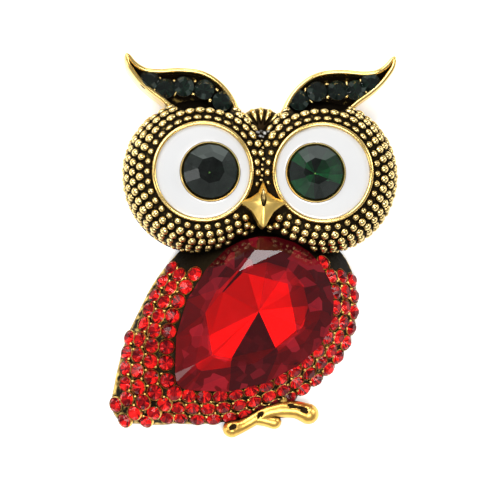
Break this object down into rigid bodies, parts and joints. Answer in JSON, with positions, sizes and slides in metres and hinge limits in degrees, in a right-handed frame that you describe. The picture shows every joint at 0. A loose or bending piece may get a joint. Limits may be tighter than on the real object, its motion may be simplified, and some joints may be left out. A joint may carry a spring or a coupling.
{
  "type": "figural owl brooch",
  "caption": "Hollow-backed cast owl brooch with a pear-shaped crystal body, small set stones round it, enamelled round eyes and stone-set ears.",
  "frame": {"origin": "on the plane of the back rim, below the middle of the outline", "axes": "+Z out of the face, +Y towards the ears, +X to the right of a person who looks at the face"},
  "size_m": [0.0417, 0.0554, 0.011],
  "materials": {
    "gold_metal": "antiqued, polished on the high points, dark in the recesses",
    "pin_metal": "satin",
    "red_crystal": "faceted, foil-backed",
    "small_red_crystals": "faceted, foil-backed",
    "dark_green_crystal": "faceted, foil-backed",
    "dark_ear_crystal": "faceted, foil-backed",
    "white_enamel": "glossy poured enamel"
  },
  "bodies": {
    "root": {"casting": "gold_metal", "pin_back": "pin_metal", "body_stone": "red_crystal", "pave_stones": "small_red_crystals", "eye_enamel_left": "white_enamel", "eye_enamel_right": "white_enamel", "eye_stone_left": "dark_green_crystal", "eye_stone_right": "dark_green_crystal", "ear_stone_left_1": "dark_ear_crystal", "ear_stone_left_2": "dark_ear_crystal", "ear_stone_left_3": "dark_ear_crystal", "ear_stone_left_4": "dark_ear_crystal", "ear_stone_left_5": "dark_ear_crystal", "ear_stone_right_1": "dark_ear_crystal", "ear_stone_right_2": "dark_ear_crystal", "ear_stone_right_3": "dark_ear_crystal", "ear_stone_right_4": "dark_ear_crystal", "ear_stone_right_5": "dark_ear_crystal"}
  },
  "joints": []
}
